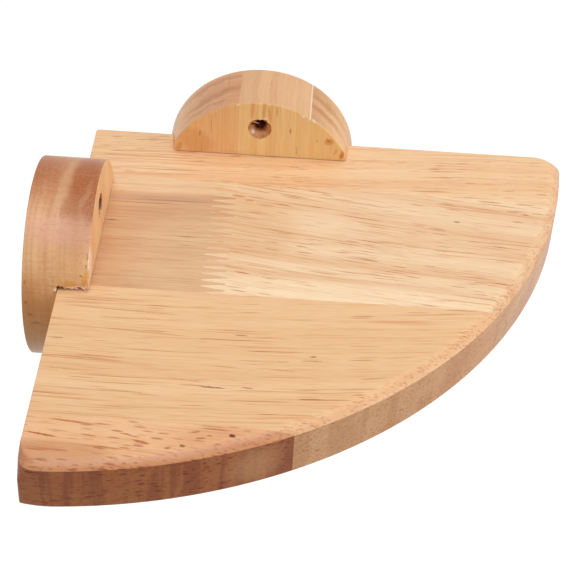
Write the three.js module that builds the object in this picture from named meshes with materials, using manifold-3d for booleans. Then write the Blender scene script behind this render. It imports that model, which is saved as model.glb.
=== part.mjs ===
// Corner wall shelf of oiled rubberwood. A quarter-round board, edge-glued from staves, sits in the
// sawn slots of two round discs, and the discs are screwed to the two walls of a room corner.
//
// Millimetres, +Z up. The origin is the room corner at the height of the shelf's top: the back
// wall is the plane Y = 0, the side wall is the plane X = 0, and the shelf lies in +X, -Y.
import * as THREE from 'three';
import { mergeVertices } from 'three/addons/utils/BufferGeometryUtils.js';
import Module from 'manifold-3d';

// Board outline
const EDGE_LENGTH = 200; // each straight edge, from the inner corner to the front curve
const BOARD_THICKNESS = 21;
const FRONT_RADIUS = 204.5; // front curve, a little flatter than a quarter circle about the corner
const BACK_END_RADIUS = 6.5; // plan rounding where the curve meets the back edge
const INNER_CORNER_RADIUS = 1.2;

// Near the side edge the curve turns in a little, and ends in a tight corner that widens upwards
const SIDE_EASE_RADIUS = 45;
const SIDE_EASE_REACH = 13; // from the side edge to where the front curve takes over
const SIDE_END_RADIUS = 1.2; // of the corner's lower part
const SIDE_TOP_RADIUS = 8; // of the corner at the shelf's top
const SIDE_TOP_DROP = 9; // how far down the corner is widened

// Edge profile of the front curve: a soft shoulder on top that stops at a crisp arris
const SHOULDER_RADIUS = 8;
const SHOULDER_SWEEP = 46; // degrees from level down to the slope at the arris
const UNDER_EDGE_RADIUS = 1.5;

// Staves of the board, and the finger joint that lengthens one of them
const BACK_STAVE_WIDTH = 32.5;
const STAVE_WIDTH = 71;
const NARROWEST_STAVE = 6; // a thinner remainder is left on its neighbour
const FINGER_JOINT_REACH = 59; // from the board's side edge to the middle of the joint
const FINGER_LENGTH = 9.5;
const FINGER_PITCH = 3.9;
const FINGER_TIP = 0.7;

// Discs
const DISC_DIAMETER = 80;
const DISC_THICKNESS = 25.6;
const DISC_REACH = 71; // from the inner corner along the board's edge to the disc's centre
const DISC_DROP = 13; // from the shelf's top down to the disc's centre
const DISC_EDGE_EASE = 0.5;
const SLOT_DEPTH = 12; // how far the board reaches into the disc
const SLOT_PLAY = 0.3; // above the board, which rests on the slot's lower face

// Staves of a disc, which stand upright
const DISC_STAVE_WIDTH = 30; // the middle stave
const DISC_STAVE_SHIFT = -9; // its left glue line, from the disc's centre

// Hole for the wall screw, through the disc's upper lobe
const WALL_HOLE_DIAMETER = 4.6;
const WALL_HOLE_HEIGHT = 14; // above the shelf's top
const WALL_SINK_DIAMETER = 10;
const WALL_SINK_DEPTH = 3.8;

// Screw that draws each disc onto the board's edge, driven from the wall side
const SCREW_DIAMETER = 4;
const SCREW_LENGTH = 35;
const SCREW_POINT = 6;
const SCREW_HEAD_DIAMETER = 8;
const SCREW_HEAD_RIM = 0.4;
const SCREW_SET_BACK = 0.6; // head below the disc's wall face
const SCREW_PLAY = 0.3; // between the screw and the wood all round
const RECESS_WIDTH = 1.1;
const RECESS_SPAN = 4.2;
const RECESS_DEPTH = 1.6;

// Fineness of the curved faces
const CURVE_STEPS = 96;
const END_STEPS = 8;
const SHOULDER_STEPS = 8;
const UNDER_STEPS = 4;
const DISC_STEPS = 144;
const HOLE_STEPS = 32;
const SCREW_STEPS = 24;
const MARGIN = 5; // how far a cutting solid runs past the wood

// Sizes that follow from those above
const wallGap = DISC_THICKNESS - SLOT_DEPTH;
const discRadius = DISC_DIAMETER / 2;
const slotHeight = BOARD_THICKNESS + SLOT_PLAY;
const screwHeight = DISC_DROP - BOARD_THICKNESS / 2; // above the disc's centre
const screwSeatHeight = (SCREW_HEAD_DIAMETER - SCREW_DIAMETER) / 2;
const pilotReach = SCREW_LENGTH + SCREW_SET_BACK + SCREW_PLAY;

const wasm = await Module();
wasm.setup();

// A closed geometry as a solid that can be cut and joined
function solidOf(geometry) {
  const bare = geometry.clone();
  bare.deleteAttribute('normal');
  bare.deleteAttribute('uv');
  const merged = mergeVertices(bare, 1e-4);
  const corners = [];
  for (let i = 0; i < merged.index.count; i += 3) {
    const [a, b, c] = [0, 1, 2].map((k) => merged.index.getX(i + k));
    if (a !== b && b !== c && c !== a) corners.push(a, b, c);
  }
  const vertProperties = new Float32Array(merged.attributes.position.array);
  const triVerts = new Uint32Array(corners);
  return new wasm.Manifold(new wasm.Mesh({ numProp: 3, vertProperties, triVerts }));
}

// The triangles of a finished solid, with flat facets
function geometryOf(solid) {
  const { vertProperties, triVerts } = solid.getMesh();
  const indexed = new THREE.BufferGeometry();
  indexed.setAttribute('position', new THREE.BufferAttribute(vertProperties, 3));
  indexed.setIndex(new THREE.BufferAttribute(triVerts, 1));
  const faceted = indexed.toNonIndexed();
  faceted.computeVertexNormals();
  return faceted;
}

function box(low, high) {
  const size = new THREE.Vector3().subVectors(high, low);
  const geometry = new THREE.BoxGeometry(size.x, size.y, size.z);
  const middle = new THREE.Vector3().addVectors(low, high).multiplyScalar(0.5);
  return solidOf(geometry.translate(middle.x, middle.y, middle.z));
}

// A body turned about the Y axis, from [radius, y] pairs that start and end on the axis
function turned(profile, steps) {
  const points = profile.map(([radius, y]) => new THREE.Vector2(radius, y));
  return solidOf(new THREE.LatheGeometry(points, steps));
}

// The point in plan at a distance and an angle, in radians, from a centre
function polar(centre, distance, angle) {
  const x = centre.x + distance * Math.cos(angle);
  const y = centre.y + distance * Math.sin(angle);
  return new THREE.Vector2(x, y);
}

// Points of an arc in plan
function arc(centre, radius, from, to, steps) {
  const points = [];
  for (let i = 0; i <= steps; i += 1) {
    points.push(polar(centre, radius, from + ((to - from) * i) / steps));
  }
  return points;
}

// The board's outline in plan at a height, counter-clockwise, with the front curve drawn in by
// inset. The straight edges stay where they are, so the front's edge profile runs out through them.
function boardOutline(z, inset) {
  const shift = (Math.sqrt(2 * FRONT_RADIUS ** 2 - EDGE_LENGTH ** 2) - EDGE_LENGTH) / 2;
  const radius = FRONT_RADIUS - inset;
  const centre = new THREE.Vector2(-shift, shift);
  const heading = (from, to) => Math.atan2(to.y - from.y, to.x - from.x);

  const easeAngle = -Math.acos((SIDE_EASE_REACH + shift) / radius);
  const ease = polar(centre, radius - SIDE_EASE_RADIUS, easeAngle);

  const widening = Math.max(0, 1 + z / SIDE_TOP_DROP);
  const sideRadius = THREE.MathUtils.lerp(SIDE_END_RADIUS, SIDE_TOP_RADIUS, widening);
  const sideReach = Math.sqrt((SIDE_EASE_RADIUS - sideRadius) ** 2 - (sideRadius - ease.x) ** 2);
  const sideEnd = new THREE.Vector2(sideRadius, ease.y - sideReach);
  const sideAngle = heading(ease, sideEnd);

  const backReach = Math.sqrt((radius - BACK_END_RADIUS) ** 2 - (BACK_END_RADIUS + shift) ** 2);
  const backEnd = new THREE.Vector2(backReach - shift, -BACK_END_RADIUS);
  const backAngle = heading(centre, backEnd);
  const inner = new THREE.Vector2(INNER_CORNER_RADIUS, -INNER_CORNER_RADIUS);
  return [
    ...arc(inner, INNER_CORNER_RADIUS, Math.PI / 2, Math.PI, END_STEPS / 2),
    ...arc(sideEnd, sideRadius, -Math.PI, sideAngle, END_STEPS),
    ...arc(ease, SIDE_EASE_RADIUS, sideAngle, easeAngle, END_STEPS / 2).slice(1),
    ...arc(centre, radius, easeAngle, backAngle, CURVE_STEPS).slice(1),
    ...arc(backEnd, BACK_END_RADIUS, backAngle, Math.PI / 2, END_STEPS).slice(1),
  ];
}

// A closed solid through a stack of outlines that have the same number of points
function loft(levels) {
  const count = levels[0].outline.length;
  const position = levels.flatMap(({ outline, z }) => outline.flatMap(({ x, y }) => [x, y, z]));
  const index = [];
  for (let level = 0; level < levels.length - 1; level += 1) {
    for (let i = 0; i < count; i += 1) {
      const next = (i + 1) % count;
      const a = level * count + i;
      const b = level * count + next;
      index.push(a, b, b + count, a, b + count, a + count);
    }
  }
  const last = (levels.length - 1) * count;
  for (const [a, b, c] of THREE.ShapeUtils.triangulateShape(levels[0].outline, [])) {
    index.push(c, b, a);
  }
  for (const [a, b, c] of THREE.ShapeUtils.triangulateShape(levels.at(-1).outline, [])) {
    index.push(last + a, last + b, last + c);
  }
  const geometry = new THREE.BufferGeometry();
  geometry.setAttribute('position', new THREE.Float32BufferAttribute(position, 3));
  geometry.setIndex(index);
  return solidOf(geometry);
}

// The whole board, with its inner corner at the origin and its top at Z = 0
function boardBlank() {
  const levels = [];
  const level = (z, inset) => levels.push({ outline: boardOutline(z, inset), z });
  for (let i = UNDER_STEPS; i >= 0; i -= 1) {
    const slope = ((Math.PI / 2) * i) / UNDER_STEPS;
    const rise = UNDER_EDGE_RADIUS * (1 - Math.sin(slope));
    level(rise - BOARD_THICKNESS, UNDER_EDGE_RADIUS * (1 - Math.cos(slope)));
  }
  level(-SIDE_TOP_DROP, 0);
  const sweep = THREE.MathUtils.degToRad(SHOULDER_SWEEP);
  for (let i = SHOULDER_STEPS; i >= 0; i -= 1) {
    const slope = (sweep * i) / SHOULDER_STEPS;
    const inset = SHOULDER_RADIUS * (Math.sin(sweep) - Math.sin(slope));
    level(-SHOULDER_RADIUS * (1 - Math.cos(slope)), inset);
  }
  return loft(levels);
}

// A plan outline extruded right through the board
function throughBoard(points) {
  const depth = BOARD_THICKNESS + 2 * MARGIN;
  const shape = new THREE.Shape(points.map(([x, y]) => new THREE.Vector2(x, y)));
  const geometry = new THREE.ExtrudeGeometry(shape, { depth, bevelEnabled: false });
  return solidOf(geometry.translate(0, 0, -BOARD_THICKNESS - MARGIN));
}

// Distances of the stave limits from the back edge: glue lines, and the far ends past the wood
function staveLimits() {
  const limits = [-MARGIN];
  let line = BACK_STAVE_WIDTH;
  while (line < EDGE_LENGTH - NARROWEST_STAVE) {
    limits.push(line);
    line += STAVE_WIDTH;
  }
  return [...limits, EDGE_LENGTH + MARGIN];
}

// The zigzag line of the finger joint between two glue lines, from the back to the front
function fingerLine(back, front) {
  const count = Math.floor((front - back) / FINGER_PITCH);
  const start = back + (front - back - count * FINGER_PITCH) / 2;
  const left = FINGER_JOINT_REACH - FINGER_LENGTH / 2;
  const right = FINGER_JOINT_REACH + FINGER_LENGTH / 2;
  const points = [[left, -back]];
  for (let i = 0; i < count; i += 1) {
    const y = -(start + i * FINGER_PITCH);
    points.push([left, y - FINGER_TIP]);
    points.push([right, y - FINGER_PITCH / 2]);
    points.push([right, y - FINGER_PITCH / 2 - FINGER_TIP]);
    points.push([left, y - FINGER_PITCH]);
  }
  return [...points, [left, -front]];
}

// Named plan outlines of the board's pieces
function boardPlan() {
  const near = -MARGIN;
  const far = EDGE_LENGTH + MARGIN;
  const limits = staveLimits();
  const plan = {};
  for (let i = 0; i < limits.length - 1; i += 1) {
    const back = limits[i];
    const front = limits[i + 1];
    const name = `board_stave_${i + 1}`;
    if (i === 1) {
      const line = fingerLine(back, front);
      plan[`${name}_left`] = [[near, -back], [near, -front], ...[...line].reverse()];
      plan[`${name}_right`] = [...line, [far, -front], [far, -back]];
    } else {
      plan[name] = [[near, -back], [near, -front], [far, -front], [far, -back]];
    }
  }
  return plan;
}

// Countersunk screw, head at Y = 0 and point towards -Y
function screwSolid() {
  const head = SCREW_HEAD_DIAMETER / 2;
  const shank = SCREW_DIAMETER / 2;
  const neck = SCREW_HEAD_RIM + screwSeatHeight;
  const body = turned([
    [0, -SCREW_LENGTH],
    [shank, SCREW_POINT - SCREW_LENGTH],
    [shank, -neck],
    [head, -SCREW_HEAD_RIM],
    [head, 0],
    [0, 0],
  ], SCREW_STEPS);
  const half = RECESS_WIDTH / 2;
  const span = RECESS_SPAN / 2;
  const flat = box(new THREE.Vector3(-span, -RECESS_DEPTH, -half), new THREE.Vector3(span, MARGIN, half));
  const upright = box(new THREE.Vector3(-half, -RECESS_DEPTH, -span), new THREE.Vector3(half, MARGIN, span));
  return body.subtract(flat).subtract(upright);
}

// The room that the screw needs in the wood, from the disc's wall face at Y = 0
function screwRoom() {
  const head = SCREW_HEAD_DIAMETER / 2 + SCREW_PLAY;
  const shank = SCREW_DIAMETER / 2 + SCREW_PLAY;
  const rim = SCREW_SET_BACK + SCREW_HEAD_RIM;
  return turned([
    [0, -pilotReach],
    [shank, SCREW_POINT - pilotReach],
    [shank, -rim - screwSeatHeight],
    [head, -rim],
    [head, MARGIN],
    [0, MARGIN],
  ], SCREW_STEPS);
}

// A whole slotted disc about its own centre, wall face at Y = 0 and front face towards -Y
function discBlank() {
  const ease = DISC_EDGE_EASE;
  const blank = turned([
    [0, -DISC_THICKNESS],
    [discRadius - ease, -DISC_THICKNESS],
    [discRadius, ease - DISC_THICKNESS],
    [discRadius, -ease],
    [discRadius - ease, 0],
    [0, 0],
  ], DISC_STEPS);
  const past = discRadius + MARGIN;
  const floor = DISC_DROP - BOARD_THICKNESS;
  const slotLow = new THREE.Vector3(-past, -DISC_THICKNESS - MARGIN, floor);
  const slotHigh = new THREE.Vector3(past, -wallGap, floor + slotHeight);
  const hole = WALL_HOLE_DIAMETER / 2;
  const sink = WALL_SINK_DIAMETER / 2;
  const mouth = -DISC_THICKNESS;
  const wallHole = turned([
    [0, mouth - MARGIN],
    [sink, mouth - MARGIN],
    [sink, mouth],
    [hole, mouth + WALL_SINK_DEPTH],
    [hole, MARGIN],
    [0, MARGIN],
  ], HOLE_STEPS).translate([0, 0, DISC_DROP + WALL_HOLE_HEIGHT]);
  const screwHole = screwRoom().translate([0, 0, screwHeight]);
  return blank.subtract(box(slotLow, slotHigh)).subtract(wallHole).subtract(screwHole);
}

// Upright slices of a disc between its glue lines
function discPlan() {
  const past = discRadius + MARGIN;
  return {
    left_stave: [-past, DISC_STAVE_SHIFT],
    middle_stave: [DISC_STAVE_SHIFT, DISC_STAVE_SHIFT + DISC_STAVE_WIDTH],
    right_stave: [DISC_STAVE_SHIFT + DISC_STAVE_WIDTH, past],
  };
}

function wood(color, roughness) {
  return new THREE.MeshStandardMaterial({ color, roughness, metalness: 0 });
}

function piece(name, solid, material) {
  const mesh = new THREE.Mesh(geometryOf(solid), material);
  mesh.name = name;
  return mesh;
}

// Where each disc stands: the back one as modelled, the side one turned to face along +X
const discPlaces = [
  { name: 'back_disc', position: [wallGap + DISC_REACH, 0, -DISC_DROP], turn: 0 },
  { name: 'side_disc', position: [0, -wallGap - DISC_REACH, -DISC_DROP], turn: 90 },
];

// The glued board, bored for the two screws
function board() {
  const group = new THREE.Group();
  group.position.set(wallGap, -wallGap, 0);
  let blank = boardBlank();
  for (const { position, turn } of discPlaces) {
    const bore = screwRoom().rotate([0, 0, turn]).translate([
      position[0] - wallGap,
      position[1] + wallGap,
      position[2] + screwHeight,
    ]);
    blank = blank.subtract(bore);
  }
  const tones = ['#e3bd92', '#d9b086', '#ecca9c', '#e6bc8c', '#d8a577'];
  Object.entries(boardPlan()).forEach(([name, outline], i) => {
    const tone = wood(tones[i % tones.length], 0.42);
    group.add(piece(name, blank.intersect(throughBoard(outline)), tone));
  });
  return group;
}

// One disc with its screw
function disc({ name, position, turn }) {
  const group = new THREE.Group();
  group.position.set(...position);
  group.rotation.z = THREE.MathUtils.degToRad(turn);
  const blank = discBlank();
  const tones = ['#cf8f5c', '#dca86a', '#d49c62'];
  const past = discRadius + MARGIN;
  Object.entries(discPlan()).forEach(([stave, [left, right]], i) => {
    const low = new THREE.Vector3(left, -DISC_THICKNESS - MARGIN, -past);
    const high = new THREE.Vector3(right, MARGIN, past);
    group.add(piece(`${name}_${stave}`, blank.intersect(box(low, high)), wood(tones[i], 0.38)));
  });
  const zinc = new THREE.MeshStandardMaterial({ color: '#b9bcc0', roughness: 0.35, metalness: 1 });
  const screw = piece(`${name}_screw`, screwSolid(), zinc);
  screw.position.set(0, -SCREW_SET_BACK, screwHeight);
  group.add(screw);
  return group;
}

const shelf = new THREE.Group();
shelf.add(board());
shelf.add(...discPlaces.map(disc));

export default shelf;
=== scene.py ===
import math

import bmesh
import bpy
from mathutils import Matrix, Quaternion, Vector


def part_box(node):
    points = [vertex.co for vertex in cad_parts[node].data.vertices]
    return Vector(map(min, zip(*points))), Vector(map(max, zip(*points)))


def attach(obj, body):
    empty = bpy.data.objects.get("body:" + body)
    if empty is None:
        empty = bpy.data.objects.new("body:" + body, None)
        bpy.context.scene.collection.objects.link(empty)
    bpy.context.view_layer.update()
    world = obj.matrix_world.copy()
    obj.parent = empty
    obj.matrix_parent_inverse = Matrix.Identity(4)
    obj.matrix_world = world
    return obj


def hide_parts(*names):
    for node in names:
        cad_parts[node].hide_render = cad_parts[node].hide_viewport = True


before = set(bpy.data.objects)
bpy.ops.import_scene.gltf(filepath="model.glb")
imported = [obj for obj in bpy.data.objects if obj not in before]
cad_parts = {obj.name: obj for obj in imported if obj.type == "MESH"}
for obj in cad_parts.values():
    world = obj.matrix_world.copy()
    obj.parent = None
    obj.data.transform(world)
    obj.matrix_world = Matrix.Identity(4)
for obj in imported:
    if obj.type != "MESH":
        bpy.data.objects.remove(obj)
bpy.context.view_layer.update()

# Corner wall shelf of oiled rubberwood: a quarter-round board glued from staves, carried in the
# slots of two round discs. Metres, +Z up, the room's corner at the origin, the board's top at Z = 0.
MM = 0.001
TINY = 0.001 * MM
NEAR = 0.02 * MM
CREASE = math.radians(35)
SMOOTH_BELOW = math.radians(32)

# Places and sizes that the frame gives
stave_1_low, stave_1_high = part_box("board_stave_1")
corner = Vector((stave_1_low.x, stave_1_high.y, stave_1_high.z))
thickness = stave_1_high.z - stave_1_low.z
back_disc_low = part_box("back_disc_left_stave")[0]
back_disc_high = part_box("back_disc_right_stave")[1]
disc_middle_low, disc_middle_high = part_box("back_disc_middle_stave")
disc_thickness = -disc_middle_low.y
disc_radius = (disc_middle_high.z - disc_middle_low.z) / 2
disc_height = (disc_middle_high.z + disc_middle_low.z) / 2
back_disc_x = (back_disc_low.x + back_disc_high.x) / 2
side_disc_y = -back_disc_x

# Board outline and edges
EDGE = 200 * MM
FRONT_RADIUS = 204.5 * MM
BACK_END_RADIUS = 6.5 * MM
INNER_RADIUS = 1.2 * MM
EASE_RADIUS = 45 * MM
EASE_REACH = 13 * MM
SIDE_END_RADIUS = 1.2 * MM
SIDE_TOP_RADIUS = 8 * MM
SIDE_TOP_DROP = 9 * MM
SHOULDER_RADIUS = 8 * MM
SHOULDER_SWEEP = math.radians(46)
ARRIS_RADIUS = 0.5 * MM
UNDER_RADIUS = 1.5 * MM
SOFT_EDGE = 0.25 * MM
SKIN = 0.04 * MM
SHOULDER_RINGS = 10
ARRIS_RINGS = 3
UNDER_RINGS = 5
INNER_STEPS = 4
END_STEPS = 14
EASE_STEPS = 10
FRONT_STEPS = 160

# Finger joint of the second stave
FINGER_REACH = 59 * MM
FINGER_LENGTH = 9.5 * MM
FINGER_PITCH = 3.9 * MM
FINGER_TIP = 0.7 * MM

# Discs
DISC_STEPS = 180
DISC_EASE = 0.5 * MM
DISC_EASE_STEPS = 3
SLOT_PLAY = 0.3 * MM

# Wall hole: a countersink whose neck is torn in waves and whose upper lip is torn out
HOLE_RADIUS = 2.3 * MM
HOLE_HEIGHT = 14 * MM
SINK_RADIUS = 5 * MM
SINK_DEPTH = 3.8 * MM
HOLE_STEPS = 48
NECK_WAVES = [(5, 0.6), (11, 0.0)]
TEAR_START = 0.45
NECK_BAND = 0.5 * MM
DEEP_TEAR = 0.35 * MM
SHORT_TEAR = 0.25 * MM
MOUTH_TEAR = 0.08 * MM
MOUTH_SEED = 3
BITE_LIMIT = 3.2 * MM
BITE = 0.8 * MM
BITE_SEED = 8

# Splinters, each from its root to its tip with its radius
SPLINTER_SIDES = 7
SPLINTER_TIP = 0.3
HOLE_SPLINTERS = [
    ((81.3, -23.1, 16.1), (84.2, -23.2, 15.0), 0.45),
    ((80.3, -24.6, 18.2), (83.3, -24.6, 17.9), 0.8),
]

# Corners of the discs over the slot, sanded blunt: outlines in plan from the disc's own centre
SHAVE_HEIGHT = 7 * MM
BACK_LEFT_SHAVE = [(-38.3, -10), (-35.6, -26.2), (-38.8, -26.2)]
BACK_RIGHT_SHAVE = [(38.3, -14), (38.8, -26.2), (36.8, -26.2)]
SIDE_SHAVE = [(-38.0, -12.0), (-36.6, -13.7), (-35.7, -26.2), (-38.8, -26.2)]

# Torn lower edge of the side disc: its outline in x and z, drawn out along its reach
TEAR_FACE = -121.6
TEAR_REACH = (0, 3.2, -0.9)
TEAR_OUTLINE = [
    (13.3, -0.5), (13.3, 1.9), (14.2, 2.4), (15.0, 1.9), (15.9, 2.2), (16.3, 1.0), (18.0, 1.4),
    (19.5, 0.9), (20.3, 1.6), (21.6, 2.1), (23.0, 1.9), (24.2, 1.3), (25.0, 1.6), (26.6, 1.1),
    (26.6, -0.5),
]
SPLINTERS = [
    ((16.0, -119.4, 1.9), (21.8, -120.9, 0.9), 0.42),
    ((21.4, -119.3, 2.2), (24.9, -121.3, 0.6), 0.45),
    ((24.5, -119.2, 2.0), (25.4, -120.9, 0.8), 0.3),
    ((18.6, -119.2, 2.2), (21.0, -120.7, 1.3), 0.3),
]

# Screws from the wall side into the board's edge
SCREW_RADIUS = 2 * MM
SCREW_ROOT = 1.4 * MM
SCREW_LENGTH = 35 * MM
SCREW_POINT = 6 * MM
SCREW_PITCH = 1.8 * MM
TURNED_STEPS = 32
THREAD_STEPS = 24
THREAD_GAP = 3 * MM
THREAD_SINK = 0.9
THREAD_FOOT = (0.1, 0.82)
THREAD_CREST = (0.42, 0.5)
SHANK_LENGTH = 1.4 * MM
SHANK_RUN = 2 * MM
HEAD_RADIUS = 4 * MM
HEAD_RIM = 0.4 * MM
SET_BACK = 0.6 * MM
SCREW_PLAY = 0.3 * MM
RECESS_WIDTH = 1.1 * MM
RECESS_SPAN = 4.2 * MM
RECESS_DEPTH = 1.6 * MM
MARGIN = 5 * MM

# Wood: the sizes of its patterns along and across the grain, in millimetres
WANDER_CELL = (1 / 120, 1 / 42, 1 / 42)
BROAD = (150.0, 14.0)
GROVE = (60.0, 7.0)
THIN = (60.0, 0.9)
STRAND = (9.0, 0.5)
HAIR = (5.0, 0.16)
SCRATCH = (14.0, 0.6)
BAND = (8.0, 75.0)
PORE = (2.4, 1.1)
DASH = (18.0, 1.1)
LINE = (60.0, 1.1)
VESSEL_REACH = 0.34
PORE_REACH = 0.42
PORE_SHARE = 0.9
GRIT = (1.4, 1.4, 1.4)
SEED_STEPS = (37.3, 19.1, 11.7)
LAYER_STEP = 7.7
SHELL = (0.02, 1, 1)
VESSEL_CORE = 0.45
FAINTEST = 0.35
PER_MM = (1 / MM, 1 / MM, 1 / MM)
UPWARD = (0, 0, 1)

# Where a pattern sets in and is full, as values of its noise, and how strong it gets
LAYERED = (0.3, 0.7)
SLOW_TONE = (0.35, 0.7)
CROWDED = (0.38, 0.58)
DRAWN = (0.55, 0.64)
STRANDED = (0.35, 0.72, 0.0, 0.22)
BANDED = (0.46, 0.58)
PALE_SPECKS = (0.52, 0.72)
DARK_SPECKS = (0.46, 0.3)
PALE_SCRATCH = (0.54, 0.7, 0.0, 0.16)
DARK_SCRATCH = (0.3, 0.46, 0.22, 0.0)
TORN_CONE = (0.4, 0.6)

# How far a face looks along an axis where an effect sets in and is full
END_GRAIN = (0.35, 0.95)
GLUED = (0.05, 0.3)
DISC_RIM = (0.75, 0.95)
SHOULDER = (0.9, 0.999)
FRONT_RIM = (0.3, 0.6)
SIDE_FACE = (0.3, 0.72)

# Oiled surface: its oil film is thin on the faces and thicker on the board's rounded shoulder
COAT = 0.1
SHOULDER_COAT = 0.75
COAT_ROUGHNESS = 0.3
SPECULAR = 0.3
WORN = (0.3, 0.7, 0.36, 0.44)
PORE_ROUGHNESS = 0.2
HAIR_RELIEF = 0.35
BUMP_STRENGTH = 0.12
BUMP_DEPTH = 0.06 * MM

# Marks: noise scale of their ragged edges, its push in millimetres, and how far out they are solid
CORE = 0.5
BOARD_EDGE = (0.9, (2.2, 0.7, 0.7), CORE)
DISC_EDGE = (0.9, (0.6, 0.6, 2.2), CORE)
BROAD_EDGE = (0.2, (4.0, 6.0, 6.0), 0.2)
TOP_MARK_DEPTH = 2.5

# Wall hole's colours: where the cone turns into the painted shade of the bore, and the reach of the
# hole's mark
CONE_DEPTH = (2.2, 4.2)
HOLE_SPREAD = 12
HOLE_REACH = 50

# Studio: floor, sky, softboxes as (name, place, size, power), and the fitted camera
SHELF_MIDDLE = (0.1, -0.1, 0)
FLOOR_HEIGHT = -0.55
FLOOR_SIZE = 14
FLOOR_BOUNCE = (0.42, 0.42, 0.42, 1)
FLOOR_SEEN = (0.8, 0.8, 0.8, 1)
FLOOR_GLOW = 0.5
WORLD_LIGHT = 0.5
SOFTBOXES = [
    ("overhead_softbox", (0.15, -0.1, 1.25), (1.1, 0.9), 7.4),
    ("right_softbox", (1.2, -0.35, 0.45), (0.8, 0.8), 4.6),
]
CAMERA_PLACE = Vector((110.607, -598.966, 415.647)) * MM
CAMERA_TARGET = Vector((101.624, -110.947, 0)) * MM
CAMERA_ROLL = math.radians(3.068)
LENS = 103.62
SENSOR_WIDTH = 36
NEAREST = 0.01
FARTHEST = 50

screw_height = -thickness / 2
wall_gap = corner.x
BACK_PLACE = Vector((back_disc_x, 0, disc_height))
SIDE_PLACE = Vector((0, side_disc_y, disc_height))
SIDE_TURN = math.pi / 2


def choose(piece):
    """Selects one object alone and makes it the active one."""
    bpy.ops.object.select_all(action="DESELECT")
    piece.select_set(True)
    bpy.context.view_layer.objects.active = piece


def edit(piece):
    """Opens one piece in edit mode with nothing selected."""
    choose(piece)
    bpy.ops.object.mode_set(mode="EDIT")
    bpy.ops.mesh.select_mode(type="VERT")
    bpy.ops.mesh.select_all(action="DESELECT")


def close():
    """Leaves edit mode and gives back the piece."""
    bpy.ops.object.mode_set(mode="OBJECT")
    return bpy.context.object


def pick_all():
    bpy.ops.mesh.select_all(action="SELECT")


def close_outwards():
    """Turns every face of the open mesh outwards and closes it."""
    pick_all()
    bpy.ops.mesh.normals_make_consistent(inside=False)
    return close()


def weld(reach=TINY):
    """Merges the points of the open mesh that lie within reach of each other."""
    pick_all()
    bpy.ops.mesh.remove_doubles(threshold=reach)


def pick_points(test):
    """Selects the shown points of the open mesh that pass the test."""
    mesh = bpy.context.object.data
    shape = bmesh.from_edit_mesh(mesh)
    for point in shape.verts:
        point.select_set(not point.hide and bool(test(point.co)))
    shape.select_flush(True)
    bmesh.update_edit_mesh(mesh)


def pick_edges(test):
    """Selects the edges of the open mesh whose two ends pass the test."""
    bpy.ops.mesh.select_mode(type="EDGE")
    mesh = bpy.context.object.data
    shape = bmesh.from_edit_mesh(mesh)
    for edge in shape.edges:
        edge.select_set(all(test(point.co) for point in edge.verts))
    bmesh.update_edit_mesh(mesh)


def new_piece(name):
    piece = bpy.context.object
    piece.name = name
    piece.data.name = name
    return piece


def settle(piece):
    """Moves a piece's place and turn into its mesh."""
    choose(piece)
    bpy.ops.object.transform_apply(location=True, rotation=True, scale=True)
    return piece


def placed(piece, place, turn=0.0):
    piece.location = place
    piece.rotation_euler = (0, 0, turn)
    return settle(piece)


def copy_of(piece, name):
    choose(piece)
    bpy.ops.object.duplicate()
    return new_piece(name)


def first_point(name, place):
    """Starts a drawn line: a small plane merged to one point, left open in edit mode."""
    bpy.ops.object.select_all(action="DESELECT")
    bpy.ops.mesh.primitive_plane_add(size=MM, location=(0, 0, 0))
    edit(new_piece(name))
    pick_all()
    bpy.ops.mesh.merge(type="CENTER")
    bpy.ops.transform.translate(value=place)


def draw_to(start, end):
    """Carries the drawn line on by one straight stretch."""
    bpy.ops.mesh.extrude_vertices_move(TRANSFORM_OT_translate={"value": end - start})


def draw_arc(centre, angle, steps):
    """Carries the drawn line round a centre, counter-clockwise seen from above."""
    bpy.ops.mesh.spin(steps=steps, angle=angle, center=centre, axis=(0, 0, -1))


def draw_line(name, points):
    """A new piece drawn as a line through points, left open in edit mode."""
    first_point(name, points[0])
    for start, end in zip(points, points[1:]):
        draw_to(start, end)


def prism(name, outline, depth):
    """A closed outline of points, filled and drawn out along depth."""
    draw_line(name, outline)
    pick_all()
    bpy.ops.mesh.edge_face_add()
    bpy.ops.mesh.extrude_region_move(TRANSFORM_OT_translate={"value": depth})
    return close_outwards()


def lathe(name, profile, steps=TURNED_STEPS):
    """A body turned about the Y axis from (radius, y) pairs that start and end on the axis."""
    draw_line(name, [Vector((radius, y, 0)) for radius, y in profile])
    pick_all()
    bpy.ops.mesh.spin(steps=steps, angle=math.tau, center=(0, 0, 0), axis=(0, 1, 0))
    weld()
    return close_outwards()


def block(name, middle, size):
    """A box from its middle and its size."""
    bpy.ops.object.select_all(action="DESELECT")
    bpy.ops.mesh.primitive_cube_add(size=1, location=middle, scale=size)
    return settle(new_piece(name))


def split_flats(piece):
    """Divides faces of many sides into triangles, so that a cut through them stays clean."""
    edit(piece)
    bpy.ops.mesh.select_mode(type="FACE")
    bpy.ops.mesh.select_face_by_sides(number=4, type="GREATER")
    bpy.ops.mesh.quads_convert_to_tris(quad_method="BEAUTY", ngon_method="BEAUTY")
    close()


def carve(piece, cutter, operation="DIFFERENCE", keep=False):
    """Cuts a piece by a cutter, or joins them, by a boolean modifier that is applied."""
    split_flats(piece)
    split_flats(cutter)
    cut = piece.modifiers.new("cut", "BOOLEAN")
    cut.operation = operation
    cut.solver = "EXACT"
    cut.object = cutter
    choose(piece)
    bpy.ops.object.modifier_apply(modifier=cut.name)
    if not keep:
        bpy.data.objects.remove(cutter)


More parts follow.
